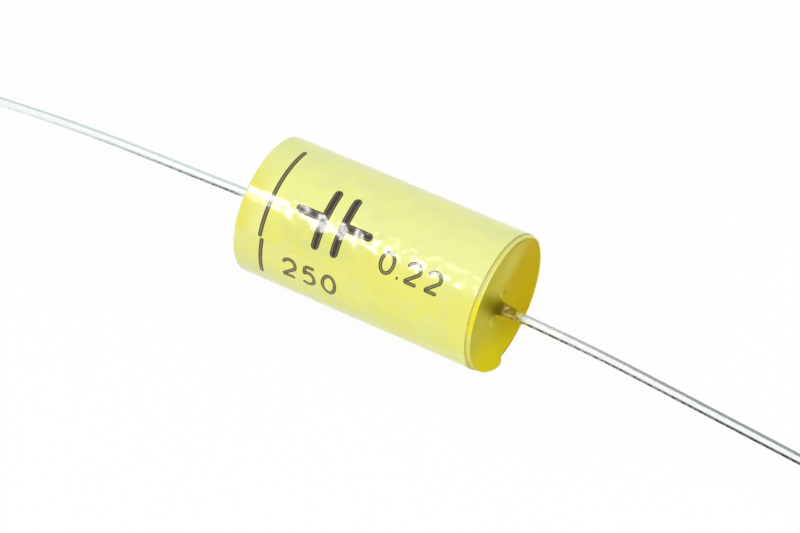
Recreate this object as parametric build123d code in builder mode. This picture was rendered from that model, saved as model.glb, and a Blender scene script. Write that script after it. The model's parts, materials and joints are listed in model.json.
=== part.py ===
from build123d import *
import os
from math import cos, radians, sin, sqrt, tan

# Axial film capacitor lying on its side: +X along the body, +Z up, the surface it lies on at zero
# Lengths are millimetres, angles are degrees, and angles round the body count from the top towards -Y

# Film winding and the metal sprayed on its ends
film_width = 13.0
core_diameter = 2.4
spray_thickness = 0.4
spray_plug_depth = 0.8

# Tape roll round the winding, with a seam, a flat where it lies, and inner turns that have slid along
body_diameter = 12.0
tape_overhang = 4.5
tape_thickness = 0.06
tape_turns = 5
outer_turns = 2
seam_angle = 70.0
rest_flat_width = 1.5
telescope_shift = 0.33
telescope_tilt_angle = 1.2
telescope_side_angle = 51.0

# Wire leads, each with a flat head that is soldered to the sprayed metal
lead_diameter = 0.81
lead_length = 38.0
head_diameter = 2.4
head_thickness = 0.4

# Left lead: height above the body axis at its head, angles below level, and the bend between them
left_lead_rise = 0.17
left_exit_angle = 2.06
left_run_angle = 6.84
left_bend_distance = 19.4
left_bend_radius = 148.0

# Right lead
right_lead_rise = -0.5
right_exit_angle = 2.86
right_run_angle = 6.61
right_bend_distance = 9.3
right_bend_radius = 120.0

# Solder under and over each head
solder_film = 0.1
solder_margin = 0.8
solder_height = 1.3
solder_taper_angle = 40.0

# Epoxy in the cups that the tape makes past the winding
epoxy_recess = 0.1
dish_depth = 0.65
collar_height = 1.9
collar_film = 0.06
collar_flare = 0.5

# Bulge of epoxy that ran over the rim of the right cup
bulge_radius = 2.4
bulge_height = 0.3
bulge_inset = 0.8
bulge_side_angle = 158.0

# Worked out from the sizes above
film_end = film_width / 2
spray_face = film_end + spray_thickness
core_radius = core_diameter / 2
body_end = film_end + tape_overhang
tape_width = 2 * body_end
body_radius = body_diameter / 2
half_turn_step = tape_thickness / 2
lower_turn_radius = body_radius - half_turn_step
inner_turn_radius = body_radius - outer_turns * tape_thickness
winding_radius = body_radius - tape_turns * tape_thickness
flat_height = sqrt(lower_turn_radius**2 - (rest_flat_width / 2) ** 2)
axis_height = flat_height + half_turn_step * cos(radians(seam_angle))
rim_rise = winding_radius * tan(radians(telescope_tilt_angle))
lead_radius = lead_diameter / 2
head_radius = head_diameter / 2
head_plane = spray_face + solder_film

across = Vector(0, 1, 0)
body_axis = Axis((0, 0, axis_height), (1, 0, 0))
body_plane = Plane(origin=(0, 0, axis_height), x_dir=(1, 0, 0), z_dir=(0, -1, 0))


def section_direction(angle):
    """Unit direction in the body's section, as (Y, Z), at an angle from the top towards -Y."""
    return Vector(-sin(radians(angle)), cos(radians(angle)))


def rim_plane(station):
    """Plane of the inner turns' edge, tilted so that one side of the roll stands further out."""
    side = section_direction(telescope_side_angle)
    lean = Vector(0, side.X, side.Y) * tan(radians(telescope_tilt_angle))
    return Plane(origin=(station, 0, axis_height), z_dir=Vector(1, 0, 0) - lean)


def rim_low(side):
    """Distance from the middle of the body to the lowest point of the inner turns' edge at one end."""
    return body_end + side * telescope_shift - rim_rise


def pool_height(side):
    """Distance from the middle of the body to the lowest point of the epoxy's dished face at one end."""
    return rim_low(side) - epoxy_recess - dish_depth


def lead_start(side, rise):
    """Middle of the underside of a lead's head."""
    return Vector(side * head_plane, 0, axis_height + rise)


def lead_direction(side, angle):
    """Outward direction of a lead that falls below level by an angle."""
    return Vector(side * cos(radians(angle)), 0, -sin(radians(angle)))


def make_end_spray(side):
    """Disc of sprayed metal on one end of the winding, with a plug in the mouth of the core hole."""
    with BuildPart() as end_spray:
        with BuildSketch(body_plane):
            with BuildLine():
                Polyline(
                    (side * (film_end - spray_plug_depth), 0),
                    (side * (film_end - spray_plug_depth), core_radius),
                    (side * film_end, core_radius),
                    (side * film_end, winding_radius),
                    (side * spray_face, winding_radius),
                    (side * spray_face, 0),
                    close=True,
                )
            make_face()
        revolve(axis=body_axis)
    return end_spray.part


def make_lead(side, rise, exit_angle, run_angle, bend_distance, bend_radius):
    """Wire with a flat head at its inner end and a long gentle bend that lowers its outer end."""
    start = lead_start(side, rise)
    outwards = lead_direction(side, exit_angle)
    onwards = lead_direction(side, run_angle)
    bend_corner = start + outwards * ((body_end + bend_distance - head_plane) / cos(radians(exit_angle)))
    bend_reach = bend_radius * tan(radians(run_angle - exit_angle) / 2)
    tip = bend_corner + onwards * ((lead_length - bend_distance) / cos(radians(run_angle)))
    with BuildPart() as lead:
        with BuildLine() as route:
            straight = Line(start, bend_corner - outwards * bend_reach)
            bend = TangentArc(straight @ 1, bend_corner + onwards * bend_reach, tangent=outwards)
            Line(bend @ 1, tip)
        with BuildSketch(route.line ^ 0):
            Circle(lead_radius)
        sweep()
        with BuildSketch(Plane(origin=start, x_dir=across, z_dir=outwards)):
            Circle(head_radius)
        extrude(amount=head_thickness)
    return lead.part


def make_solder(side, rise, lead):
    """Cone of solder that lies under a lead's head, covers it and rises round the wire."""
    middle = (side * spray_face, 0, axis_height + rise)
    with BuildPart() as solder:
        with BuildSketch(Plane(origin=middle, x_dir=across, z_dir=(side, 0, 0))):
            Circle(head_radius + solder_margin)
        extrude(amount=solder_height, taper=solder_taper_angle)
        add(lead, mode=Mode.SUBTRACT)
    return solder.part


def make_epoxy_fill(side, rise, exit_angle, lead, solder, overflow):
    """Fill of one cup: a dished face that meets the tape high and creeps up the lead as a collar."""
    outwards = lead_direction(side, exit_angle)
    buried_length = (pool_height(side) - head_plane) / cos(radians(exit_angle))
    collar_foot = lead_start(side, rise) + outwards * buried_length
    film_radius = lead_radius + collar_film
    flare_radius = lead_radius + collar_flare
    with BuildPart() as epoxy_fill:
        with BuildSketch(body_plane):
            with BuildLine():
                middle = (side * pool_height(side), 0)
                wall = (side * (rim_low(side) - epoxy_recess), winding_radius)
                TangentArc(middle, wall, tangent=(0, 1))
                Polyline(wall, (side * spray_face, winding_radius), (side * spray_face, 0), middle)
            make_face()
        revolve(axis=body_axis)
        with BuildSketch(Plane(origin=collar_foot, x_dir=across, z_dir=across.cross(outwards))):
            with BuildLine():
                top = (film_radius, collar_height)
                skirt = (flare_radius, 0)
                TangentArc(top, skirt, tangent=(0, -1))
                Polyline(skirt, (flare_radius, -collar_flare), (0, -collar_flare), (0, collar_height), top)
            make_face()
        revolve(axis=Axis(collar_foot, outwards))
        if overflow is not None:
            add(overflow)
        add(solder, mode=Mode.SUBTRACT)
        add(lead, mode=Mode.SUBTRACT)
    return epoxy_fill.part


# Film winding: the rolled film and foil as one tube, left hollow by its arbor
with BuildPart() as film_winding:
    with BuildSketch(Plane.YZ.offset(-film_end)):
        with Locations((0, axis_height)):
            Circle(winding_radius)
            Circle(core_radius, mode=Mode.SUBTRACT)
    extrude(amount=film_width)

# Inner turns of the tape, which have slid along inside the outer turns
with BuildPart() as inner_turns:
    with BuildSketch(Plane.YZ):
        with Locations((0, axis_height)):
            Circle(inner_turn_radius)
    extrude(amount=tape_width, both=True)
    split(bisect_by=rim_plane(telescope_shift + body_end), keep=Keep.BOTTOM)
    split(bisect_by=rim_plane(telescope_shift - body_end), keep=Keep.TOP)

# Tape roll: two half turns that differ by half a tape, a step at the seam, and a flat on the surface below
seam = section_direction(seam_angle)
below_seam = section_direction(seam_angle + 90)
upper_centre = Vector(0, axis_height)
lower_centre = upper_centre - seam * half_turn_step
with BuildPart() as tape_wrap:
    with BuildSketch(Plane.YZ.offset(-body_end)):
        with BuildLine():
            lower_turn = ThreePointArc(
                lower_centre + seam * lower_turn_radius,
                lower_centre + below_seam * lower_turn_radius,
                lower_centre - seam * lower_turn_radius,
            )
            upper_turn = ThreePointArc(
                lower_turn @ 1,
                upper_centre - below_seam * body_radius,
                upper_centre + seam * body_radius,
            )
            Line(upper_turn @ 1, lower_turn @ 0)
        make_face()
        with Locations((0, -body_radius)):
            Rectangle(body_diameter, body_diameter, mode=Mode.SUBTRACT)
        with Locations(upper_centre):
            Circle(inner_turn_radius, mode=Mode.SUBTRACT)
    extrude(amount=tape_width)
    add(inner_turns.part)
    with BuildSketch(Plane.YZ):
        with Locations(upper_centre):
            Circle(winding_radius)
    extrude(amount=tape_width, both=True, mode=Mode.SUBTRACT)

# Bulge of epoxy: a low hill on the right fill that reaches over the edge of the inner turns
bulge_place = section_direction(bulge_side_angle) * (winding_radius - bulge_inset)
bulge_foot = Vector(pool_height(1), bulge_place.X, axis_height + bulge_place.Y)
rim_height = body_end + telescope_shift + rim_rise * cos(radians(bulge_side_angle - telescope_side_angle))
bulge_top = bulge_foot.X - rim_height - bulge_height
with BuildPart() as rim_bulge:
    with BuildSketch(Plane(origin=bulge_foot, x_dir=across, z_dir=(0, 0, 1))):
        with BuildLine():
            hill = TangentArc((0, bulge_top), (bulge_radius, 0), tangent=(1, 0))
            Polyline(hill @ 1, (0, 0), hill @ 0)
        make_face()
    revolve(axis=Axis(bulge_foot, (1, 0, 0)))
    with BuildSketch(Plane.YZ):
        with Locations(upper_centre):
            Circle(inner_turn_radius)
    extrude(amount=tape_width, mode=Mode.INTERSECT)
    add(tape_wrap.part, mode=Mode.SUBTRACT)

# Both ends, from the sprayed metal outwards
left_lead = make_lead(
    -1, left_lead_rise, left_exit_angle, left_run_angle, left_bend_distance, left_bend_radius
)
right_lead = make_lead(
    1, right_lead_rise, right_exit_angle, right_run_angle, right_bend_distance, right_bend_radius
)
left_solder = make_solder(-1, left_lead_rise, left_lead)
right_solder = make_solder(1, right_lead_rise, right_lead)

pieces = {
    "film_winding": film_winding.part,
    "tape_wrap": tape_wrap.part,
    "end_spray_left": make_end_spray(-1),
    "end_spray_right": make_end_spray(1),
    "lead_left": left_lead,
    "lead_right": right_lead,
    "solder_left": left_solder,
    "solder_right": right_solder,
    "epoxy_fill_left": make_epoxy_fill(-1, left_lead_rise, left_exit_angle, left_lead, left_solder, None),
    "epoxy_fill_right": make_epoxy_fill(
        1, right_lead_rise, right_exit_angle, right_lead, right_solder, rim_bulge.part
    ),
}

os.makedirs("parts", exist_ok=True)
for name, piece in pieces.items():
    piece.label = name
    export_step(piece, f"parts/{name}.step")
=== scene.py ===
# %% [markdown]
# # A film capacitor in yellow tape
#
# The capacitor lies on its side: a roll of glossy yellow tape, both ends filled with amber epoxy,
# and a bright tinned wire out of each end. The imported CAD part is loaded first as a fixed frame.
# It could be copied by eye, but the sizes below are read from that frame or repeated from its
# source, so each surface that is added lands on the solid that it dresses.

# %% Load the frame and measure it
import json
import bpy
import numpy as np
from mathutils import Matrix, Vector


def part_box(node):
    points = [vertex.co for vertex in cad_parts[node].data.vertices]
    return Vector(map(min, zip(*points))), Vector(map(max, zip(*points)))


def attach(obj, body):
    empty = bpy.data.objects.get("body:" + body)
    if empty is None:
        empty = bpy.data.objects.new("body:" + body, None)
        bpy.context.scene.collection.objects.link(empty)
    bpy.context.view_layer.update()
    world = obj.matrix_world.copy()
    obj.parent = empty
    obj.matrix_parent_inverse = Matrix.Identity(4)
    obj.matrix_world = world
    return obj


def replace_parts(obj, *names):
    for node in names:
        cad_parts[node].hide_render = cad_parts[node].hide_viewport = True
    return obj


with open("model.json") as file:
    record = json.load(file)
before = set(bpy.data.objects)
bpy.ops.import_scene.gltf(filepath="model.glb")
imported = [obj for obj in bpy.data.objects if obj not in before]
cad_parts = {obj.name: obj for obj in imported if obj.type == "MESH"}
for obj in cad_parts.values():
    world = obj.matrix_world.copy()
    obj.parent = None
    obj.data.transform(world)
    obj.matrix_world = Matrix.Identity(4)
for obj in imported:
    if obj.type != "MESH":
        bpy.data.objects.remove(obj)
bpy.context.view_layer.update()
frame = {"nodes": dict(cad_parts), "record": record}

MM = 0.001


def box_mm(node):
    """Lowest and highest corner of a CAD node, in millimetres."""
    low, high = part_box(node)
    return np.array(low) / MM, np.array(high) / MM


winding_low, winding_high = box_mm("film_winding")
axis_height = (winding_low[2] + winding_high[2]) / 2
winding_radius = (winding_high[2] - winding_low[2]) / 2
spray_face = box_mm("end_spray_right")[1][0]
lead_radius = frame["record"]["mounts"][0]["dims"]["r_mm"]
print(f"axis {axis_height:.3f} mm up, winding radius {winding_radius:.3f} mm")
print(f"sprayed metal ends at {spray_face:.2f} mm, wire radius {lead_radius} mm")

# %% [markdown]
# ## Camera
#
# The photograph was taken from above and to the right with a long lens, so lines that run away
# stay nearly parallel. A camera can be turned by hand until it looks right. Here its place was
# solved from the outline of the roll, as an azimuth, a height angle and a distance, with a small
# slide of the frame across the view.

# %% Put the camera where the photograph was taken
camera_azimuth = np.radians(31.54)
camera_elevation = np.radians(44.42)
camera_distance = 303.66
camera_slide_right = 1.152
camera_slide_up = -1.140
camera_nearest = 10.0
image_width_px = 800
focal_length_px = 3713
sensor_width = 36.0

view_back = np.array([
    np.cos(camera_elevation) * np.sin(camera_azimuth),
    -np.cos(camera_elevation) * np.cos(camera_azimuth),
    np.sin(camera_elevation),
])
view_right = np.array([np.cos(camera_azimuth), np.sin(camera_azimuth), 0])
view_up = np.cross(view_back, view_right)
body_centre = np.array([0, 0, axis_height])
camera_place = body_centre + view_back * camera_distance
camera_place = camera_place + view_right * camera_slide_right + view_up * camera_slide_up

camera_data = bpy.data.cameras.new("photo_camera")
camera_data.sensor_width = sensor_width
camera_data.lens = focal_length_px / image_width_px * sensor_width
camera_data.clip_start = camera_nearest * MM
camera = bpy.data.objects.new("photo_camera", camera_data)
camera_turn = Matrix((view_right, view_up, view_back)).transposed().to_4x4()
camera.matrix_world = Matrix.Translation(Vector(camera_place * MM)) @ camera_turn
bpy.context.scene.collection.objects.link(camera)
bpy.context.scene.camera = camera
print(f"camera {camera_distance} mm away, lens {camera_data.lens:.1f} mm")

# %% [markdown]
# ## Shader sums
#
# A finish is a sum of patterns: noise times a strength, a mask times a colour. In the node editor
# each plus sign is a node to drag in. The small class below wraps a socket so that plain Python
# sums add those nodes, and one method, `output`, adds any other kind.


# %% A socket that can be added and multiplied
def operators(operation):
    """The method of an operator and its reflected form. Each adds one Math node to the tree."""
    def plain(self, other):
        return self.math(operation, self, other)

    def reflected(self, other):
        return self.math(operation, other, self)

    return plain, reflected


class Pattern:
    """One output of a node tree, as a number in a sum."""

    __add__, __radd__ = operators("ADD")
    __sub__, __rsub__ = operators("SUBTRACT")
    __mul__, __rmul__ = operators("MULTIPLY")
    __truediv__, __rtruediv__ = operators("DIVIDE")

    def __init__(self, tree, socket):
        self.tree = tree
        self.socket = socket

    def output(self, kind, settings=None, out=0, **sockets):
        """Add a node and wrap one of its outputs. Settings are set first, then the sockets, which
        are named in words or as _ and a number."""
        made = self.tree.nodes.new("ShaderNode" + kind)
        for name, value in (settings or {}).items():
            setattr(made, name, value)
        for name, value in sockets.items():
            key = int(name[1:]) if name[1:].isdigit() else name.replace("_", " ")
            plug(self.tree, made.inputs[key], value)
        return Pattern(self.tree, made.outputs[out])

    def math(self, operation, first, second=None):
        """Add a Math node with one or two inputs."""
        return self.output("Math", {"operation": operation}, _0=first, _1=second)

    def step(self, low, high):
        """Smooth rise from 0 at low to 1 at high."""
        settings = {"interpolation_type": "SMOOTHSTEP"}
        return self.output("MapRange", settings, Value=self, From_Min=low, From_Max=high)

    def bell(self, centre, width):
        """Smooth hump, 1 at the centre and 0 from one width away."""
        return 1 - self.math("ABSOLUTE", self - centre).step(0, width)


def plug(tree, socket, value):
    """Link a wrapped socket or set a plain value."""
    if isinstance(value, Pattern):
        tree.links.new(value.socket, socket)
    elif value is not None:
        socket.default_value = value


print("patterns can be added, subtracted, multiplied and divided")


# %% Colours
def srgb(red, green, blue):
    """Linear colour of an sRGB value from 0 to 255: dark values are divided, and the rest follow a
    power of 2.4."""
    share = np.array([red, green, blue]) / 255
    linear = np.where(share <= 0.04045, share / 12.92, ((share + 0.055) / 1.055) ** 2.4)
    return (*linear.tolist(), 1.0)


def blend(factor, first, second):
    """Mix two colours by a factor."""
    return factor.output("Mix", {"data_type": "RGBA"}, 2, _0=factor, _6=first, _7=second)


def layered(colour, *layers):
    """Lay colours over a first one in turn, each as strongly as its mask."""
    for mask, layer in layers:
        colour = blend(mask, colour, layer)
    return colour


print("middle grey is", [round(level, 3) for level in srgb(128, 128, 128)])


# %% Materials and what they can be made from
def paint(material, **values):
    """Give the shader's sockets, named with _ for a space, their patterns or constants."""
    shader = material.node_tree.nodes["Principled BSDF"]
    for name, value in values.items():
        plug(material.node_tree, shader.inputs[name.replace("_", " ")], value)


def new_finish(name, **constants):
    """A material with one Principled shader that takes the constants, and the place on its piece,
    in metres."""
    material = bpy.data.materials.new(name)
    material.use_nodes = True
    paint(material, **constants)
    return material, Pattern(material.node_tree, None).output("TexCoord", out="Object")


def millimetres(place, axis):
    """The place on a piece along one axis, in millimetres."""
    return place.output("SeparateXYZ", out=axis, Vector=place) / MM


def from_axis(place):
    """The distance of a place on a piece from the body's axis: the root of Y squared plus the
    height over the axis squared."""
    y = millimetres(place, 1)
    height = millimetres(place, 2) - axis_height
    return y.math("SQRT", y * y + height * height)


def attribute(place, name):
    """A number stored on the mesh under a name."""
    return place.output("Attribute", {"attribute_name": name}, 2)


def noise(place, scale, detail=2.0, stretch=None):
    """Cloudy noise from 0 to 1, with a scale in features per metre, drawn out along the axes where
    stretch is small."""
    if stretch:
        place = place.output("Mapping", Vector=place, Scale=stretch)
    return place.output("TexNoise", Vector=place, Scale=scale, Detail=detail)


def bump(height, micrometres):
    """Tilt of the surface from a height pattern, with its depth in micrometres."""
    return height.output("Bump", Height=height, Distance=micrometres * MM / 1000)


def report_finish(finish):
    """Say how large a finish has become."""
    print(finish.name, "has", len(finish.node_tree.nodes), "nodes")


print("finishes can use places, stored numbers, noise and bumps")

# %% [markdown]
# ## Surfaces from grids
#
# Every new piece is a grid of points: rows along one parameter, columns along another. A grid can
# be drawn by hand, extruded or sculpted, but a formula gives exact sizes and even faces. Two
# helpers join each point to its neighbours, close the grid where a surface runs round, cap open
# ends with one flat face, and make the mesh.


# %% Join the points of a grid
def grid_faces(points, rows_close):
    """Corner numbers and face sizes of a grid whose columns run round and close. Face (i, j) joins
    points (i, j), (i+1, j), (i+1, j+1) and (i, j+1), counted round at the closed sides. Open ends
    get a cap, and all faces are turned round where the volume inside comes out negative."""
    rows, columns = points.shape[:2]
    row = np.arange(rows if rows_close else rows - 1)[:, None]
    column = np.arange(columns)[None, :]
    next_row = (row + 1) % rows
    next_column = (column + 1) % columns
    corners = np.stack([
        row * columns + column,
        next_row * columns + column,
        next_row * columns + next_column,
        row * columns + next_column,
    ], axis=-1).reshape(-1, 4)
    loops = corners.ravel()
    sizes = np.full(len(corners), 4)
    if not rows_close:
        last_row = (rows - 1) * columns + np.arange(columns)[::-1]
        loops = np.concatenate([loops, np.arange(columns), last_row])
        sizes = np.concatenate([sizes, [columns, columns]])

    flat = points.reshape(-1, 3)
    first, second, third, fourth = (flat - flat.mean(axis=0))[corners].transpose(1, 0, 2)
    spans = np.cross(second - first, third - first) + np.cross(third - first, fourth - first)
    if np.sum(first * spans) < 0:
        return loops[::-1], sizes[::-1]
    return loops, sizes


print("grids can be joined into faces")

# %% Turn a grid into a piece
sharp_angle = np.radians(40)


def grid_piece(name, points, values, finish, rows_close=False):
    """Mesh object from points of shape (rows, columns, 3) in millimetres. Values are numbers for
    each point, stored under their names."""
    rows, columns = points.shape[:2]
    loops, sizes = grid_faces(points, rows_close)
    starts = np.concatenate([[0], np.cumsum(sizes)[:-1]])
    mesh = bpy.data.meshes.new(name)
    mesh.vertices.add(rows * columns)
    mesh.vertices.foreach_set("co", (points * MM).astype(np.float32).ravel())
    mesh.loops.add(len(loops))
    mesh.loops.foreach_set("vertex_index", loops.astype(np.int32))
    mesh.polygons.add(len(sizes))
    mesh.polygons.foreach_set("loop_start", starts.astype(np.int32))
    mesh.polygons.foreach_set("use_smooth", np.ones(len(sizes), dtype=bool))
    mesh.update(calc_edges=True)
    for value_name, numbers in values.items():
        stored = mesh.attributes.new(value_name, "FLOAT", "POINT")
        numbers = np.broadcast_to(numbers, (rows, columns)).astype(np.float32)
        stored.data.foreach_set("value", np.ascontiguousarray(numbers).ravel())
    mesh.set_sharp_from_angle(angle=sharp_angle)
    mesh.validate()
    mesh.materials.append(finish)

    piece = bpy.data.objects.new(name, mesh)
    bpy.context.scene.collection.objects.link(piece)
    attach(piece, "root")
    print(f"{name}: {len(sizes)} faces, {rows} rows of {columns}")
    return piece


print(f"edges over {np.degrees(sharp_angle):.0f} degrees stay sharp")

# %% [markdown]
# ## The tape roll
#
# The case of this capacitor is sticky polyester film wound five times round the winding. The outer
# end of the tape shows as a seam along the side, and the inner turns have slid a little way out of
# the right end. A cylinder would miss the seam, the step and the ripples that break up the
# highlight. So the outline of the roll's wall, cut along the axis, is carried round the axis,
# while its radius grows by one tape thickness per turn.

# %% Sizes of the roll
tape_low, tape_high = box_mm("tape_wrap")
tape_turns = 5
outer_turns = 2
body_radius = tape_high[1]
tape_thickness = (body_radius - winding_radius) / tape_turns
inner_turn_radius = body_radius - outer_turns * tape_thickness
outer_end = -tape_low[0]
seam_angle = np.radians(70.0)
slide = 0.33
slide_tilt = np.tan(np.radians(1.2))
slide_side_angle = np.radians(51.0)
lip_angle = np.radians(-47.0)
lip_height = 0.12
lip_narrowness = 16.0
print(f"roll {2 * outer_end:.2f} mm long, {2 * body_radius:.2f} mm across")
print(f"tape {tape_thickness:.3f} mm thick, inner turns {slide} mm out")


def around(x, angle, radius):
    """Points at a place along the axis, an angle from the top towards -Y and a distance from the
    axis."""
    parts = np.broadcast_arrays(x, -radius * np.sin(angle), axis_height + radius * np.cos(angle))
    return np.stack(parts, axis=-1)


def rim(angle):
    """How far the inner turns' edge stands out: a slide, a tilt towards one side that follows a
    cosine, and a small lip on the other that falls off as a bell round the circle."""
    tilt = slide_tilt * winding_radius * np.cos(angle - slide_side_angle)
    lip = lip_height * np.exp(lip_narrowness * (np.cos(angle - lip_angle) - 1))
    return slide + tilt + lip


# %% [markdown]
# ### Ripples in the tape
#
# Thin tape never lies quite flat. Trapped air and an uneven pull leave ripples a millimetre or two
# long, which break the lamp's reflection into sparks. A bump in the material would do from afar,
# but then the print would not follow it. So the ripples are part of the surface: many small waves
# in random directions, added up, and pressed flat where the roll lies on the table.

# %% Ripples of the outer turn
ripple_seed = 3
ripple_waves = 40
ripple_short, ripple_long = 0.9, 2.0
ripple_slope = 0.050
taut_share = 0.12
taut_to, loose_from = -8.2, -5.4
calmer_by = 0.5
loose_to, calmer_from = 3.0, 8.5


def smooth_step(values, low, high):
    """Smooth rise of numbers from 0 at low to 1 at high."""
    share = np.clip((values - low) / (high - low), 0, 1)
    return share ** 2 * (3 - 2 * share)


def ripple_strength(x):
    """Share of the full ripples along the roll: taut at the left end, loose in the middle, calmer
    at the right."""
    loose = smooth_step(x, taut_to, loose_from)
    calm = smooth_step(x, loose_to, calmer_from)
    return taut_share + (1 - taut_share) * loose - calmer_by * calm


def ripples(x, along):
    """Sum of plane waves with random directions, lengths and phases, all of the same slope."""
    draw = np.random.default_rng(ripple_seed)
    heading = draw.uniform(0, np.pi, ripple_waves)
    number = 2 * np.pi / draw.uniform(ripple_short, ripple_long, ripple_waves)
    phase = draw.uniform(0, 2 * np.pi, ripple_waves)
    height = np.zeros(np.broadcast(x, along).shape)
    for h, k, p in zip(heading, number, phase):
        height += np.sin(k * (np.cos(h) * x + np.sin(h) * along) + p) / k
    return height * ripple_strength(x) * ripple_slope / np.sqrt(ripple_waves / 2)


seam_x = np.linspace(-outer_end, outer_end, 400)
print(f"ripples up to {np.abs(ripples(seam_x, 0 * seam_x)).max():.3f} mm high along the seam")

# %% The outer turn's face
floor_window = np.radians(60.0)
rest_angle = np.radians(12.0)


def outer_radius(turned):
    """Radius of the outer turn: a spiral from just below the seam, flat where it lies on the
    surface."""
    spiral = body_radius - tape_thickness * (1 - turned / (2 * np.pi))
    from_below = turned + seam_angle - np.pi
    over_floor = np.abs(from_below) < floor_window
    floor_radius = axis_height / np.cos(np.where(over_floor, from_below, 0))
    return np.where(over_floor, np.minimum(spiral, floor_radius), spiral)


def rippled_radius(x, turned):
    """Radius of the outer turn with its ripples, which fade out where it lies on the surface."""
    free = smooth_step(np.abs(turned + seam_angle - np.pi), rest_angle, rest_angle * 2)
    return outer_radius(turned) + free * ripples(x, body_radius * turned)


def tape_surface(x, turned):
    """Points of the outer turn's rippled face at places along the axis and angles past the seam."""
    return around(x, turned + seam_angle, rippled_radius(x, turned))


seam_step = outer_radius(2 * np.pi) - outer_radius(0)
print(f"the seam stands {seam_step:.3f} mm high")

# %% [markdown]
# ### The finish of the tape
#
# Clear yellow tape takes its colour from what lies under it: greener over pale film, more golden
# where it is doubled above the seam and over the epoxy at the left end. A single yellow would look
# like paint. So soft masks along the axis and round the roll blend a few yellows, with cloudy
# patches. Two faint creases between the turns are painted as a pale highlight and a darker shade
# line, and the edges of the turns take a painted shade line.

# %% Where the tape changes colour
tape_finish, tape_place = new_finish("glossy_yellow_tape", IOR=1.5)
tape_x = millimetres(tape_place, 0)
turned_share = attribute(tape_place, "turned")
edge_shade_mask = attribute(tape_place, "edge")
tape_strip = attribute(tape_place, "strip")
tape_mottle = noise(tape_place, 700)

# The turned share runs from 0 just below the seam to 1 just above it, and X is in millimetres
above_seam = turned_share.step(0.90, 0.955)
below_seam = 1 - turned_share.step(0.16, 0.30)
to_floor = turned_share.step(0.04, 0.13)
to_right = tape_x.step(-9, 9)
left_end = (1 - tape_x.step(-9.0, -8.2)) * turned_share.step(0.80, 0.90)
from_left_edge = tape_x.step(-10.6, -8.8)
golden_cloud = noise(tape_place, 260, 3.0).step(0.42, 0.75) * 0.4
pale_patch = noise(tape_place, 420, 1.0).step(0.50, 0.68) * 0.35

under_print = turned_share.bell(0.955, 0.05) * tape_x.bell(-3.6, 6.0)
grey_mottle = under_print * tape_mottle.step(0.3, 0.6) * 0.8
# Painted light on two creases: a pale highlight along the low one and a darker shade along the high
# one
low_crease_highlight = (turned_share + tape_x * 0.0064).bell(0.161, 0.004) * tape_x.step(5.6, 6.8) * 0.5
high_crease_shade = (turned_share + tape_x * 0.0020).bell(0.839, 0.003) * tape_x.step(3.6, 5.0) * 0.2
seam_side = turned_share.bell(0.975, 0.07) + turned_share.bell(-0.025, 0.07)
golden_strip = tape_strip * seam_side.step(0.1, 0.6)
far_edge = turned_share.step(0.30, 0.40) * (1 - turned_share.step(0.66, 0.76))
report_finish(tape_finish)

# %% Yellows of the tape
seam_colour = blend(to_right, srgb(225, 224, 124), srgb(226, 225, 106))
floor_colour = blend(to_right, srgb(215, 219, 142), srgb(222, 223, 114))
left_colour = blend(from_left_edge, srgb(224, 219, 98), srgb(228, 228, 140))
# Painted shade: a dark olive line along the edges of the turns, golden on the far part of the roll
edge_shade_colour = blend(far_edge, srgb(150, 138, 18), srgb(206, 188, 30))
tape_colour = layered(
    srgb(227, 231, 146),
    (above_seam, srgb(225, 222, 105)),
    (below_seam, blend(to_floor, seam_colour, floor_colour)),
    (left_end, left_colour),
    (golden_cloud, srgb(234, 234, 118)),
    (pale_patch, srgb(214, 221, 150)),
    (grey_mottle, srgb(204, 208, 126)),
    (low_crease_highlight, srgb(244, 244, 200)),
    (high_crease_shade, srgb(206, 212, 134)),
    (tape_strip * 0.5, srgb(224, 216, 96)),
    (edge_shade_mask, edge_shade_colour),
    (golden_strip, srgb(228, 218, 0)),
)
paint(
    tape_finish,
    Base_Color=tape_colour,
    Roughness=0.10 + tape_mottle * 0.05,
    Normal=bump(tape_mottle, 1.5),
)
report_finish(tape_finish)

# %% [markdown]
# ### The wall of the roll
#
# Cut along the axis, the wall is a long thin loop: out over the rippled face, down the stepped
# edges of the turns at the right, back along the inside and up the left edge. It could be built as
# separate rings, but one closed grid leaves no cracks. Each edge gets a small rounding that
# catches light, and numbers that say how much painted edge shade and strip colour it takes.

# %% Places along the loop
roll_rows = 330
outer_columns = 190
edge_round = 0.03
edge_bite = 0.3 * edge_round
turned = np.linspace(0, 2 * np.pi, roll_rows)[:, None]
roll_angle = turned + seam_angle
outer = outer_radius(turned)
right_rim = outer_end + rim(roll_angle)
left_rim = rim(roll_angle) - outer_end
middle_turn = (inner_turn_radius + winding_radius) / 2
face_x = np.linspace(-outer_end + edge_round, outer_end - edge_round, outer_columns)[None, :]
face_radius = rippled_radius(face_x, turned)

# Past the face: place along the axis, radius, share of painted edge shade, share of strip colour
edge_columns = [
    (outer_end - edge_bite, outer - edge_bite, 0.1, 0),
    (outer_end, outer - edge_round, 0.5, 0),
    (outer_end, inner_turn_radius + edge_round, 1, 0),
    (outer_end + edge_round, inner_turn_radius, 0.5, 0.5),
    (right_rim - 2 * edge_round, inner_turn_radius, 0, 1),
    (right_rim - 2 * edge_bite, inner_turn_radius - edge_bite, 0, 1),
    (right_rim, inner_turn_radius - edge_round, 0, 1),
    (right_rim - edge_round, middle_turn, 0.5, 1),
    (right_rim, middle_turn - edge_round, 0, 1),
    (right_rim, winding_radius + edge_round, 1, 0.2),
    (right_rim - edge_round, winding_radius, 1, 0.4),
    (left_rim + edge_round, winding_radius, 1, 0),
    (left_rim, winding_radius + edge_round, 0.3, 0),
    (left_rim, inner_turn_radius, 0.3, 0),
    (-outer_end, inner_turn_radius, 0.7, 0),
    (-outer_end, outer - edge_round, 0.4, 0),
    (-outer_end + edge_bite, outer - edge_bite, 0.1, 0),
]
print(outer_columns, "columns on the face and", len(edge_columns), "round the edges")

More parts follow.
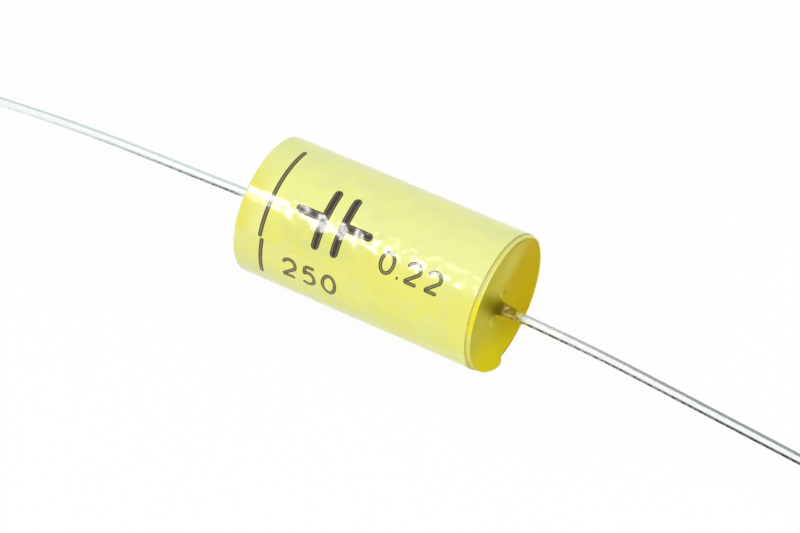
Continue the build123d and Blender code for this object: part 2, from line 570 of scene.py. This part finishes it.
# %% Carry the loop round the axis
wall = np.zeros((4, roll_rows, outer_columns + len(edge_columns)))
wall[0, :, :outer_columns] = face_x
wall[1, :, :outer_columns] = face_radius
for number, edge_column in enumerate(edge_columns):
    spread = [np.broadcast_to(value, turned.shape)[:, 0] for value in edge_column]
    wall[:, :, outer_columns + number] = spread
wall_x, wall_r, edge_shade_share, strip_share = wall
tape_roll = grid_piece(
    "tape_roll",
    around(wall_x, roll_angle, wall_r),
    {"turned": turned / (2 * np.pi), "edge": edge_shade_share, "strip": strip_share},
    tape_finish,
    rows_close=True,
)
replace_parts(tape_roll, "tape_wrap")

# %% [markdown]
# ## The print
#
# The tape is marked in dark ink: a line round one end, which shows the outer foil, the two-plate
# sign of a capacitor, and plain numbers. An image could be wrapped on, but it blurs when seen
# close. Each stroke here is a very low ribbon that follows the rippled tape: a flat profile
# carried along a path on the unrolled surface. The ink is darkest at the rim of a stroke, where it
# gathered as it dried, and a paler line runs inside that.

# %% The finish of the ink
ink_finish, ink_place = new_finish("dark_ink", IOR=1.5)
ink_inset = attribute(ink_place, "ink_inset")
ink_paleness = attribute(ink_place, "ink_paleness")
ink_grain = noise(ink_place, 6000, 3.0)
worn_grain = ink_grain.step(0.5, 0.75) * 0.5
inside_rim = ink_inset.step(0.06, 0.10)
pale_line = ink_inset.bell(0.14, 0.06) * (1 - ink_paleness) * 0.8
ink_core = layered(
    srgb(44, 35, 28),
    (ink_paleness, srgb(146, 142, 80)),
    (worn_grain, srgb(84, 76, 52)),
)
ink_colour = layered(
    srgb(34, 28, 20),
    (inside_rim, ink_core),
    (pale_line, srgb(140, 132, 80)),
)
paint(ink_finish, Base_Color=ink_colour, Roughness=0.10 + ink_grain * 0.06)
report_finish(ink_finish)

# %% Paths on the unrolled tape
ink_step = 0.05
least_points = 8


def resample(path):
    """Even points along a broken line, by its running length, and that length at each point."""
    path = np.asarray(path, dtype=float)
    length = np.concatenate([[0], np.cumsum(np.linalg.norm(np.diff(path, axis=0), axis=1))])
    even = np.linspace(0, length[-1], max(least_points, int(length[-1] / ink_step)))
    return np.stack([np.interp(even, length, path[:, n]) for n in range(2)], axis=-1), even


def arc(centre_x, centre_y, radius_x, radius_y, start, stop, count=40):
    """Points on an ellipse between two angles in degrees, counted from +X towards +Y."""
    sweep = np.radians(np.linspace(start, stop, count))
    x = centre_x + radius_x * np.cos(sweep)
    y = centre_y + radius_y * np.sin(sweep)
    return np.stack([x, y], axis=-1)


print("a millimetre of stroke has", len(resample([(0, 0), (1, 0)])[1]), "points")

# %% Ribbons along the paths
ink_lift = 0.008
ink_sink = 0.02
end_share = 0.02
across_shares = np.array([-1, -1, -0.7, -0.35, 0, 0.35, 0.7, 1, 1])
across_lifts = np.array([-ink_sink, *[ink_lift] * 7, -ink_sink])


def stroke(name, path, width, paleness, closed=False):
    """A ribbon along a path given as (place along the axis, distance round past the seam) in
    millimetres. Its width follows a half circle at each open end, and its rim dips into the
    tape."""
    path, travel = resample(path)
    if closed:
        path = path[:-1]
        heading = np.roll(path, -1, axis=0) - np.roll(path, 1, axis=0)
        half = np.full(len(path), width / 2)
    else:
        heading = np.gradient(path, axis=0)
        to_end = np.minimum(travel, travel[-1] - travel) / (width / 2)
        half = width / 2 * np.sqrt(1 - (1 - np.clip(to_end, end_share, 1)) ** 2)
    heading = heading / np.linalg.norm(heading, axis=1, keepdims=True)
    sideways = np.stack([-heading[:, 1], heading[:, 0]], axis=-1)
    spots = path[:, None, :] + sideways[:, None, :] * (half[:, None] * across_shares)[..., None]
    turned_by = np.mod(spots[..., 1] / body_radius, 2 * np.pi)
    outwards = around(0, turned_by + seam_angle, 1) - body_centre
    points = tape_surface(spots[..., 0], turned_by) + outwards * across_lifts[:, None]
    values = {"ink_inset": half[:, None] * (1 - np.abs(across_shares)), "ink_paleness": paleness}
    return grid_piece(name, points, values, ink_finish, rows_close=closed)


print(f"ink stands {ink_lift} mm over the tape")

# %% The foil line, which jumps at the seam
foil_line_x = -8.6
foil_line_jump = 0.22
foil_line_width = 0.36
foil_paleness = 0.4
foil_parts = {
    "upper": (foil_line_x, -8.9, -0.06),
    "lower": (foil_line_x + foil_line_jump, 0.01, 3.75),
}
for part, (line_x, start, stop) in foil_parts.items():
    foil_path = [(line_x, start), (line_x, stop)]
    stroke(f"print_foil_{part}", foil_path, foil_line_width, foil_paleness)

# %% The two-plate sign
sign_x, sign_along = -2.7, -3.6
sign_width = 0.72
sign_paleness = 0
plate_half = 2.7
plate_gap = 1.8
stub_length = 2.7
for side_name, side in (("left", -1), ("right", 1)):
    plate_x = sign_x + side * plate_gap / 2
    plate = [(plate_x, sign_along - plate_half), (plate_x, sign_along + plate_half)]
    stub = [(plate_x, sign_along), (plate_x + side * stub_length, sign_along)]
    stroke(f"print_plate_{side_name}", plate, sign_width, sign_paleness)
    stroke(f"print_stub_{side_name}", stub, sign_width, sign_paleness)

# %% Plain numerals, drawn from ellipses and straight runs
digit_height = 1.7
digit_width = 1.15
point_width = 0.2
right, foot = digit_width / 2, digit_height / 2
left, top = -right, -foot
two_bow = np.concatenate([arc(0, top + right, right, right, 190, 380), [(left, foot)]])
five_flag = [(right * 0.8, top), (left * 0.7, top)]
five_stem = [(left * 0.7, top), (left * 0.8, top * 0.1)]
five_bow = arc(-0.05, foot - right, right, right, 215, 500)

# Paths in a box one digit wide and high, with its middle at zero and its top towards -Y
numerals = {
    "0": [arc(0, 0, right, foot, 0, 360)],
    "2": [two_bow, [(left, foot), (right, foot)]],
    "5": [five_flag, five_stem, five_bow],
    ".": [[(-point_width / 2, foot), (point_width / 2, foot)]],
}
closed_numerals = "0"
print("numerals", list(numerals))

# %% Print two numbers
digit_pitch = 1.9
point_pitch = 1.2
digit_stroke = 0.3
digit_paleness = 0.8
number_rows = (("0.22", 2.9, -2.3), ("250", -5.6, 1.75))
for row, (number, digit_x, along) in enumerate(number_rows):
    for position, digit in enumerate(number):
        closed = digit in closed_numerals
        for part, path in enumerate(numerals[digit]):
            path = np.asarray(path) + (digit_x, along)
            stroke_name = f"print_digit_{row}_{position}_{part}"
            stroke(stroke_name, path, digit_stroke, digit_paleness, closed)
        digit_x += point_pitch if "." in number[position:position + 2] else digit_pitch

# %% [markdown]
# ## The wires
#
# The leads are drawn copper wire with a bright coat of tin. The CAD wires have the right line but
# few sides, which would show in the reflections. A circle with many sides is carried along the
# same line: a straight stretch, a long gentle bend, and a straight end. The line is the running
# sum of a direction that turns at a steady rate. The tin is nearly a mirror, with fine lines from
# the drawing die. The side that lies below takes a stronger bump and dark spots painted on as a
# speckled dark reflection.

# %% The finish of the wires
tin_finish, tin_place = new_finish("bright_tinned_wire", Metallic=1.0)
die_lines = noise(tin_place, 9000, stretch=(0.03, 1, 1))
tin_grain = noise(tin_place, 2600, 3.0)
# The underside takes a stronger bump and dark spots painted on as a speckled dark reflection,
# weaker towards the left end
underside_share = attribute(tin_place, "under").step(-0.4, 0.1)
spot_share = 0.15 + millimetres(tin_place, 0).step(-33, -12) * 0.85
dark_reflection_spots = noise(tin_place, 4200, 4.0).step(0.46, 0.53) * underside_share * spot_share
tin_colour = layered(
    srgb(243, 245, 244),
    (tin_grain.step(0.35, 0.75), srgb(252, 252, 251)),
    (dark_reflection_spots * 0.9, srgb(66, 60, 54)),
)
paint(
    tin_finish,
    Base_Color=tin_colour,
    Roughness=0.08 + tin_grain * 0.1,
    Normal=bump(die_lines * 0.6 + tin_grain * (1 + underside_share * 5), 16),
)
report_finish(tin_finish)

# %% Lines of the two wires
solder_film = 0.1
head_plane = spray_face + solder_film
head_thickness = 0.4
past_head = 1.2 * head_thickness
lead_length = 38.0
lead_rows = 260

# Rise over the axis at the head, angles below level in degrees, and the bend between them
lead_lines = {
    "lead_left": {
        "side": -1, "rise": 0.17, "exit": 2.06, "run": 6.84, "bend_at": 19.4, "bend_radius": 148.0,
    },
    "lead_right": {
        "side": 1, "rise": -0.5, "exit": 2.86, "run": 6.61, "bend_at": 9.3, "bend_radius": 120.0,
    },
}


def lead_path(line):
    """Points and directions along a wire, whose slope turns evenly from the exit angle to the run
    angle. The points are the running sum of the direction times the distance."""
    exit_angle, run_angle = np.radians(line["exit"]), np.radians(line["run"])
    turn = run_angle - exit_angle
    half_bend = line["bend_radius"] * np.tan(turn / 2)
    bend_start = (outer_end + line["bend_at"] - head_plane) / np.cos(exit_angle) - half_bend
    bend_length = line["bend_radius"] * turn
    last_run = (lead_length - line["bend_at"]) / np.cos(run_angle) - half_bend
    distance = np.linspace(0, bend_start + bend_length + last_run, lead_rows)
    distance = np.concatenate([[0], [head_thickness] * 2, distance[distance > past_head]])
    slope = exit_angle + turn * np.clip((distance - bend_start) / bend_length, 0, 1)
    heading = line["side"] * np.cos(slope), np.zeros(len(slope)), -np.sin(slope)
    heading = np.stack(heading, axis=-1)
    steps = (heading[1:] + heading[:-1]) / 2 * np.diff(distance)[:, None]
    start = np.array([line["side"] * head_plane, 0, axis_height + line["rise"]])
    return start + np.concatenate([np.zeros((1, 3)), np.cumsum(steps, axis=0)]), heading


for lead_name, line in lead_lines.items():
    print(lead_name, "ends at", lead_path(line)[0][-1].round(2))

# %% Carry a circle along each line
lead_sides = 64
head_radius = 1.2


def lead_tube(name, line):
    """A circle carried along a wire's line, with a wide flat head over its first two rows."""
    path, heading = lead_path(line)
    radius = np.full(len(path), lead_radius)
    radius[:2] = head_radius
    spin = np.linspace(0, 2 * np.pi, lead_sides, endpoint=False)[None, :, None]
    side_way = np.array([0, 1, 0])
    up_way = np.cross(heading, side_way)[:, None, :]
    ring = np.cos(spin) * side_way + np.sin(spin) * up_way
    points = path[:, None, :] + ring * radius[:, None, None]
    return grid_piece(f"{name}_wire", points, {"under": -ring[..., 2]}, tin_finish)


for lead_name, line in lead_lines.items():
    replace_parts(lead_tube(lead_name, line), lead_name)

# %% [markdown]
# ## The epoxy fills
#
# Liquid epoxy was poured into the cups at both ends. It set with a dished face, higher at the
# tape, and crept up the wire as a thin collar with a slanted top. The face could be sculpted, but
# it is a height over a disc: rings that start on the wire and grow to meet the tape, raised by a
# bowl, a collar and, at the right end, a bulge that ran over the rim. Two small pits, left by
# bubbles, lie beside the right wire.

# %% The dished face
epoxy_recess = 0.04
dish_depth = 0.71
bulge_height = 0.5
bulge_steepness = 7
bulge_start = np.radians(179.0)
bulge_sweep = np.radians(58.0)
bulge_risen = 0.22
bulge_falls = 0.25
pits_at = ((1.10, -0.25), (-0.59, -1.95))
pit_radius = 0.18
pit_depth = 0.08


def wall_height(side, angle):
    """How far from the middle of the body the epoxy meets the tape: just inside the edge of the
    inner turns."""
    return outer_end + side * rim(angle) - epoxy_recess


def bulge_share(angle):
    """Hump round the rim that starts sharply just past the bottom and dies away slowly towards the
    camera side: a smooth rise times a longer smooth fall."""
    past = (bulge_start - np.mod(angle, 2 * np.pi)) / bulge_sweep
    return smooth_step(past, 0, bulge_risen) * (1 - smooth_step(past, bulge_falls, 1))


def face_height(side, bulge, y, z):
    """Height of a fill's face: a bowl that rises with the square of the radius, plus the bulge,
    which rises with a high power of it, less two pits shaped as bells."""
    angle = np.arctan2(-y, z)
    share = np.hypot(y, z) / winding_radius
    pool = outer_end + side * slide - slide_tilt * winding_radius - epoxy_recess - dish_depth
    bowl = pool + (wall_height(side, angle) - pool) * share ** 2
    hill = bulge_height * bulge_share(angle) * share ** bulge_steepness
    pits = 0
    for pit_y, pit_z in pits_at:
        pits = pits + np.exp(-((y - pit_y) ** 2 + (z - pit_z) ** 2) / pit_radius ** 2)
    return bowl + bulge * (hill - pit_depth * pits)


for end, side in (("left", -1), ("right", 1)):
    print(f"{end} face {face_height(side, 0, 0, 0):.2f} mm from the middle at its lowest")

# %% [markdown]
# ### The finish of the epoxy
#
# The epoxy is cloudy amber. Its colour goes from greener on the near side to more golden on the
# far side: painted shade, and painted light that passes through. A pale painted highlight lies over
# the middle. The wire shows through it as a dark streak, painted shade darkens the face round the
# wire's root, under the rim and at the collar's foot, the thin collar looks brown against the metal
# with pale painted glints, and each pit has a painted dark and light side. Real see-through epoxy
# would need slow and grainy light paths, so all of these are painted by where they lie on the face.

# %% Places on the face
wire_root_z = -0.68
streak_way = (-0.68, 0.73)
epoxy_finish, epoxy_place = new_finish("amber_epoxy", Specular_IOR_Level=0.05)
epoxy_x, epoxy_y, epoxy_z = [millimetres(epoxy_place, axis) for axis in range(3)]
right_end = epoxy_x.step(0, 1)
climbed = attribute(epoxy_place, "climb")
epoxy_cloud = noise(epoxy_place, 420, 3.0)
epoxy_grain = noise(epoxy_place, 2600, 3.0)
above_root = epoxy_z - (axis_height + wire_root_z)
along_streak = epoxy_y * streak_way[0] + above_root * streak_way[1]
across_streak = epoxy_y * streak_way[1] - above_root * streak_way[0]
far_side = epoxy_y - above_root * 0.45
report_finish(epoxy_finish)

# %% What shows in the epoxy
# Painted highlight: a pale haze over the middle of the face
haze_highlight = far_side.bell(0.4, 2.2) * above_root.bell(3.2, 3.4) * 0.45
low_side = 1 - (above_root + epoxy_y * 0.5).step(-5.0, -2.0)
near_rim = from_axis(epoxy_place).step(5.15, 5.6)
rim_shade = near_rim * above_root.step(2.0, 4.5) * (1 - epoxy_y.step(2.0, 4.0)) * 0.75
streak_length = along_streak.step(-0.6, 0.2) * (1 - along_streak.step(1.0, 6.2))
seen_wire = across_streak.bell(-0.1, 1.5) * streak_length * right_end * 0.80
# Painted shade: a soft dark spot round the wire's root
root_shade = across_streak.bell(-0.25, 1.0) * along_streak.bell(0.3, 1.2) * right_end * 0.75
pit_rise_width = 0.6


def beside_pits(side_at, side_width, rise_at):
    """Soft spots at the same place beside each pit of the right face."""
    spots = 0
    for pit_y, pit_z in pits_at:
        across_pit = (epoxy_y - pit_y).bell(side_at, side_width)
        up_pit = (epoxy_z - (axis_height + pit_z)).bell(rise_at, pit_rise_width)
        spots = spots + across_pit * up_pit
    return spots * right_end


pit_shade = beside_pits(0.20, 0.45, -0.05) * 0.45
pit_glint = beside_pits(-0.30, 0.35, 0.1) * 0.55
# Painted shade at the collar's foot, on its shaded side
shaded_side = (above_root * 0.45 - epoxy_y * 0.9).step(-0.1, 0.5)
collar_foot_shade = climbed.step(0.05, 0.35) * shaded_side * 0.8
sleeve = climbed.step(0.30, 0.55)
report_finish(epoxy_finish)

# %% Ambers of the epoxy
epoxy_colour = layered(
    srgb(182, 173, 44),
    # Painted light and shade: greener on the near side, golden on the far side where light passes
    # through
    (far_side.step(-1.3, 2.6), srgb(182, 158, 0)),
    (haze_highlight, srgb(206, 198, 92)),
    (low_side, srgb(204, 190, 10)),
    (rim_shade, srgb(126, 114, 14)),
    (epoxy_cloud.step(0.4, 0.75) * 0.3, srgb(192, 176, 16)),
    (seen_wire, srgb(112, 104, 0)),
    (root_shade, srgb(92, 80, 0)),
    (pit_shade, srgb(150, 138, 6)),
    (pit_glint, srgb(222, 216, 104)),
    (collar_foot_shade, srgb(112, 98, 4)),
    # The collar's sleeve is brown, mottled by grain with pale painted glints
    (sleeve, blend(epoxy_grain.step(0.42, 0.60), srgb(142, 122, 34), srgb(206, 188, 112))),
)
paint(
    epoxy_finish,
    Base_Color=epoxy_colour,
    Roughness=0.14 + epoxy_cloud * 0.08,
    Normal=bump(epoxy_cloud + sleeve * epoxy_grain * 0.5, 20),
)
report_finish(epoxy_finish)

# %% Rings from the wire to the tape
face_rows = 120
face_columns = 240
collar_height = 2.1
collar_reach = 0.08
collar_film = 0.05
collar_curve = 0.8
collar_lean = 0.22
collar_lean_angle = np.radians(221.0)
collar_wave = 0.05
collar_waves = 5
wall_gap = 0.01
wall_radius = winding_radius - wall_gap


def fill_face(line, bulge):
    """Rings round the wire, from the collar's top over the dished face to the tape, whose reach
    grows with the square of the row. The collar falls off as e to minus a power of the reach, and
    a cosine and a small wave round the wire make its top slant. Gives the points and the collar's
    height."""
    side = line["side"]
    slope = np.tan(np.radians(line["exit"]))
    spin = np.linspace(0, 2 * np.pi, face_columns, endpoint=False)[None, :]
    way_y, way_z = np.cos(spin), np.sin(spin)
    exit_z = line["rise"] - (outer_end - dish_depth - head_plane) * slope
    to_wall = -way_z * exit_z + np.sqrt(wall_radius ** 2 - (way_y * exit_z) ** 2)
    first = lead_radius + collar_film
    reach = first + (to_wall - first) * np.linspace(0, 1, face_rows)[:, None] ** 2
    y, z = reach * way_y, exit_z + reach * way_z
    slant = collar_lean * np.cos(spin - collar_lean_angle)
    uneven = 1 + slant + collar_wave * np.sin(collar_waves * spin)
    climb = collar_height * uneven * np.exp(-((reach - first) / collar_reach) ** collar_curve)
    x = face_height(side, bulge, y, z) + climb
    return np.stack([side * x, y, axis_height + z - climb * slope], axis=-1), climb


for lead_name, line in lead_lines.items():
    print(f"collar on {lead_name} up to {fill_face(line, 0)[1].max():.2f} mm high")

# %% Close each fill behind its face
wall_lip = 0.03
mouth_share = 0.8
overflow_gain = 3
cap_share = 0.2


def epoxy_fill(name, line, bulge):
    """Rings out of the collar, over the face, down the wall and across the back. Where the bulge
    runs over, a lip lies on the edge of the inner turns."""
    side = line["side"]
    face, climb = fill_face(line, bulge)
    mouth = face[:1].mean(axis=1, keepdims=True)
    inside_mouth = mouth + (face[:1] - mouth) * mouth_share

    rim_ring = face[-1:]
    wall_angle = np.arctan2(-rim_ring[..., 1], rim_ring[..., 2] - axis_height)
    overflow = np.clip(bulge * bulge_share(wall_angle) * overflow_gain, 0, 1)
    lip_radius = winding_radius + wall_lip + (inner_turn_radius - winding_radius) * overflow
    lip_top = side * rim_ring[..., 0] - wall_lip
    lip_foot = np.minimum(lip_top - wall_lip, wall_height(side, wall_angle) + epoxy_recess)
    back_x = spray_face + wall_gap
    points = np.concatenate([
        inside_mouth,
        face,
        around(side * lip_top, wall_angle, lip_radius),
        around(side * lip_foot, wall_angle, lip_radius),
        around(side * (lip_foot - wall_lip), wall_angle, wall_radius),
        around(side * back_x, wall_angle, wall_radius),
        around(side * back_x, wall_angle, wall_radius * cap_share),
    ])
    climb_values = np.zeros(points.shape[:2])
    climb_values[0] = 1
    climb_values[1:face_rows + 1] = climb / collar_height
    return grid_piece(name, points, {"climb": climb_values}, epoxy_finish)


for end, bulge in (("left", 0), ("right", 1)):
    fill = epoxy_fill(f"epoxy_face_{end}", lead_lines[f"lead_{end}"], bulge)
    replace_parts(fill, f"epoxy_fill_{end}")

# %% [markdown]
# ## Inside the roll
#
# The winding, the sprayed metal and the solder lie inside the tape and the epoxy. Their CAD shapes
# stay as they are, and only get finishes: rings of film, grainy sprayed metal and satin solder.
# They could be left grey, but someone who opens the part sees what each piece is made of.

# %% Rings of the rolled film
radians_per_mm = 90
film_finish, film_place = new_finish("rolled_film", IOR=1.5)
ring_radius = from_axis(film_place)
film_rings = ring_radius.math("SINE", ring_radius * radians_per_mm)
film_cloud = noise(film_place, 500, 3.0)
film_colour = layered(
    srgb(196, 194, 184),
    (film_rings.step(-0.4, 0.8), srgb(226, 224, 214)),
    (film_cloud * 0.4, srgb(206, 204, 170)),
)
paint(film_finish, Base_Color=film_colour, Roughness=0.25 + film_cloud * 0.2)
report_finish(film_finish)

# %% Sprayed metal and solder
spray_finish, spray_place = new_finish("sprayed_metal", Metallic=0.7)
spray_grain = noise(spray_place, 3500, 4.0)
paint(
    spray_finish,
    Base_Color=blend(spray_grain.step(0.3, 0.7), srgb(140, 140, 142), srgb(186, 186, 186)),
    Roughness=0.5 + spray_grain * 0.3,
    Normal=bump(spray_grain, 50),
)
solder_finish, solder_place = new_finish("satin_solder", Metallic=1.0)
solder_cloud = noise(solder_place, 900, 3.0)
paint(
    solder_finish,
    Base_Color=blend(solder_cloud, srgb(206, 206, 204), srgb(226, 226, 224)),
    Roughness=0.22 + solder_cloud * 0.2,
    Normal=bump(solder_cloud, 20),
)
report_finish(spray_finish)
report_finish(solder_finish)

# %% Give the hidden pieces their finishes
hidden_finishes = {"film_winding": film_finish}
for end in ("left", "right"):
    hidden_finishes[f"end_spray_{end}"] = spray_finish
    hidden_finishes[f"solder_{end}"] = solder_finish
for node_name, finish in hidden_finishes.items():
    for material_slot in frame["nodes"][node_name].material_slots:
        material_slot.material = finish
    print(node_name, "takes", finish.name)

# %% [markdown]
# ## Studio
#
# The photograph has a pure white ground and even light from all round, as in a light tent. A tent
# could be modelled, but a world does the same work: it and the floor are white to the camera and
# to reflections, and light the object at a plain level.


# %% Flat pieces of the stage
def flat_stage(name, sheets, finish):
    """One stage piece from flat sheets, each four corners in millimetres."""
    corners = np.array(sheets, dtype=float).reshape(-1, 4, 3)
    faces = np.arange(len(corners) * 4).reshape(-1, 4)
    mesh = bpy.data.meshes.new(name)
    mesh.from_pydata((corners.reshape(-1, 3) * MM).tolist(), [], faces.tolist())
    mesh.materials.append(finish)
    sheet = bpy.data.objects.new(name, mesh)
    bpy.context.scene.collection.objects.link(sheet)
    print(name, "has", len(faces), "flat faces")
    return sheet


def level_sheet(low_x, high_x, low_y, high_y, z):
    """Corners of a level rectangle."""
    return [(low_x, low_y, z), (high_x, low_y, z), (high_x, high_y, z), (low_x, high_y, z)]


print("stage pieces are flat sheets")

# %% White floor
floor_half = 1500.0
floor_drop = 0.05
white_share = 0.95
white = (1, 1, 1, 1)


def white_ground(tree):
    """Mix factor that is 1 where the camera, a reflection or a see-through ray meets the ground."""
    start = Pattern(tree, None)
    camera_ray = start.output("LightPath", out="Is Camera Ray")
    glossy_ray = start.output("LightPath", out="Is Glossy Ray")
    clear_ray = start.output("LightPath", out="Is Transmission Ray")
    return start.math("MINIMUM", camera_ray + glossy_ray + clear_ray, 1.0)


floor_finish, floor_place = new_finish("white_paper", Roughness=0.9, Specular_IOR_Level=0.0)
paper_cloud = noise(floor_place, 40)
paint(floor_finish, Base_Color=blend(paper_cloud, srgb(240, 240, 240), srgb(244, 244, 244)))
floor_tree = floor_finish.node_tree
paper = Pattern(floor_tree, floor_tree.nodes["Principled BSDF"].outputs["BSDF"])
glow = paper.output("Emission", Color=white, Strength=1.0)
ground = paper.output("MixShader", _0=white_ground(floor_tree) * white_share, _1=paper, _2=glow)
plug(floor_tree, floor_tree.nodes["Material Output"].inputs["Surface"], ground)
floor_sheet = level_sheet(-floor_half, floor_half, -floor_half, floor_half, -floor_drop)
flat_stage("floor", floor_sheet, floor_finish)

# %% White world
tent_level = 0.775
world = bpy.data.worlds.new("light_tent")
world.use_nodes = True
background = world.node_tree.nodes["Background"]
background.inputs["Color"].default_value = white
world_level = tent_level + white_ground(world.node_tree) * (1 - tent_level)
plug(world.node_tree, background.inputs["Strength"], world_level)
bpy.context.scene.world = world
print(f"floor {floor_drop} mm under the part, tent level {tent_level}")

# %% [markdown]
# ### Cards
#
# Bright wire shows what it faces, and in an all-white room it would vanish. A photographer stands
# grey cards round such a thing. Here one card lies at floor level and one stands behind, with gaps
# where the wires show white, and greys that change along the part. Only reflections see them.


# %% Greys of the cards
def card_finish(name, greys):
    """Matt grey that changes along X: each place in millimetres has its colour."""
    finish, place = new_finish(name, Roughness=0.9, Specular_IOR_Level=0.0)
    card_x = millimetres(place, 0)
    stops = list(greys)
    layers = [(card_x.step(low, high), greys[high]) for low, high in zip(stops, stops[1:])]
    paint(finish, Base_Color=layered(greys[stops[0]], *layers))
    report_finish(finish)
    return finish


floor_grey = card_finish("floor_card_grey", {
    -42: (0.90, 0.95, 0.93, 1),
    -14: (0.40, 0.46, 0.43, 1),
    16: (0.46, 0.46, 0.44, 1),
    34: (0.22, 0.21, 0.20, 1),
})
back_grey = card_finish("back_card_grey", {
    -92: (0.66, 0.76, 0.78, 1),
    -66: (0.64, 0.76, 0.75, 1),
    -44: (0.82, 0.88, 0.86, 1),
    -22: (0.44, 0.50, 0.46, 1),
    14: (0.29, 0.34, 0.31, 1),
})

# %% Sheets of the card on the floor
card_height = -floor_drop / 2
card_reach = 160.0
card_near, card_far = -13.0, 119.0
gap_left, gap_right = -17.0, 9.5
card_bend, card_slant = 10.0, -60.0
left_back = level_sheet(-card_reach, gap_left, card_bend, card_far, card_height)
left_back[2] = (card_slant, card_far, card_height)
floor_sheets = [
    level_sheet(-card_reach, gap_left, card_near, card_bend, card_height),
    left_back,
    level_sheet(gap_right, card_reach, card_near, card_far, card_height),
]
cards = [flat_stage("floor_card", floor_sheets, floor_grey)]

# %% Sheets of the card behind
back_half = 200.0
back_foot = (120.0, 0.0)
back_bend = (120.0, 62.0)
back_top = (40.0, 230.0)
back_gap_left, back_gap_right = -63.0, -35.0


def upright_sheet(low_x, high_x, low, high):
    """Corners of a rectangle that rises from one (Y, Z) line to another."""
    return [(low_x, *low), (high_x, *low), (high_x, *high), (low_x, *high)]


back_sheets = [
    upright_sheet(-back_half, back_half, back_bend, back_top),
    upright_sheet(-back_half, back_gap_left, back_foot, back_bend),
    upright_sheet(back_gap_right, back_half, back_foot, back_bend),
]
cards.append(flat_stage("back_card", back_sheets, back_grey))

# %% Hide the cards from all but reflections
for card in cards:
    card.visible_camera = False
    card.visible_diffuse = False
    card.visible_transmission = False
    card.visible_shadow = False
print(len(cards), "cards that only reflections see")

# %% [markdown]
# ### Lamps
#
# Two small lamps high on the left make the broken streak along the roll: one for its length and
# one for its left end. A faint third touches the rim, and a large soft one at the right fills the
# face of the epoxy. One bright sun would be simpler, but it would bleach the yellow, and small
# lamps can be placed by the sparks that they should make.


# %% Lamps and view
def add_lamp(name, place, aim, size_x, size_y, power):
    """Rectangular lamp at a place from the body's centre, turned to face a point there."""
    data = bpy.data.lights.new(name, "AREA")
    data.shape = "RECTANGLE"
    data.size = size_x * MM
    data.size_y = size_y * MM
    data.energy = power
    lamp = bpy.data.objects.new(name, data)
    back = Vector(np.array(place) - np.array(aim)).normalized()
    side = (Vector((1, 0, 0)) - back * back.x).normalized()
    lamp_turn = Matrix((side, back.cross(side), back)).transposed().to_4x4()
    lamp.matrix_world = Matrix.Translation(Vector((body_centre + place) * MM)) @ lamp_turn
    bpy.context.scene.collection.objects.link(lamp)


# Place and aim from the body's centre, width and height, all in millimetres, and power in watts
lamps = {
    "end_lamp": ((-138, -149, 230), (-8, 0, 0), 22, 46, 0.095),
    "streak_lamp": ((-114, -183, 204), (0, 0, 0), 24, 50, 0.091),
    "rim_lamp": ((-92, -107, 259), (10, 0, 0), 14, 24, 0.009),
    "right_fill": ((260, -60, 120), (11, 0, 0), 160, 160, 0.30),
}
for lamp_name, settings in lamps.items():
    add_lamp(lamp_name, *settings)
bpy.context.scene.view_settings.view_transform = "Standard"
print("lamps", list(lamps))
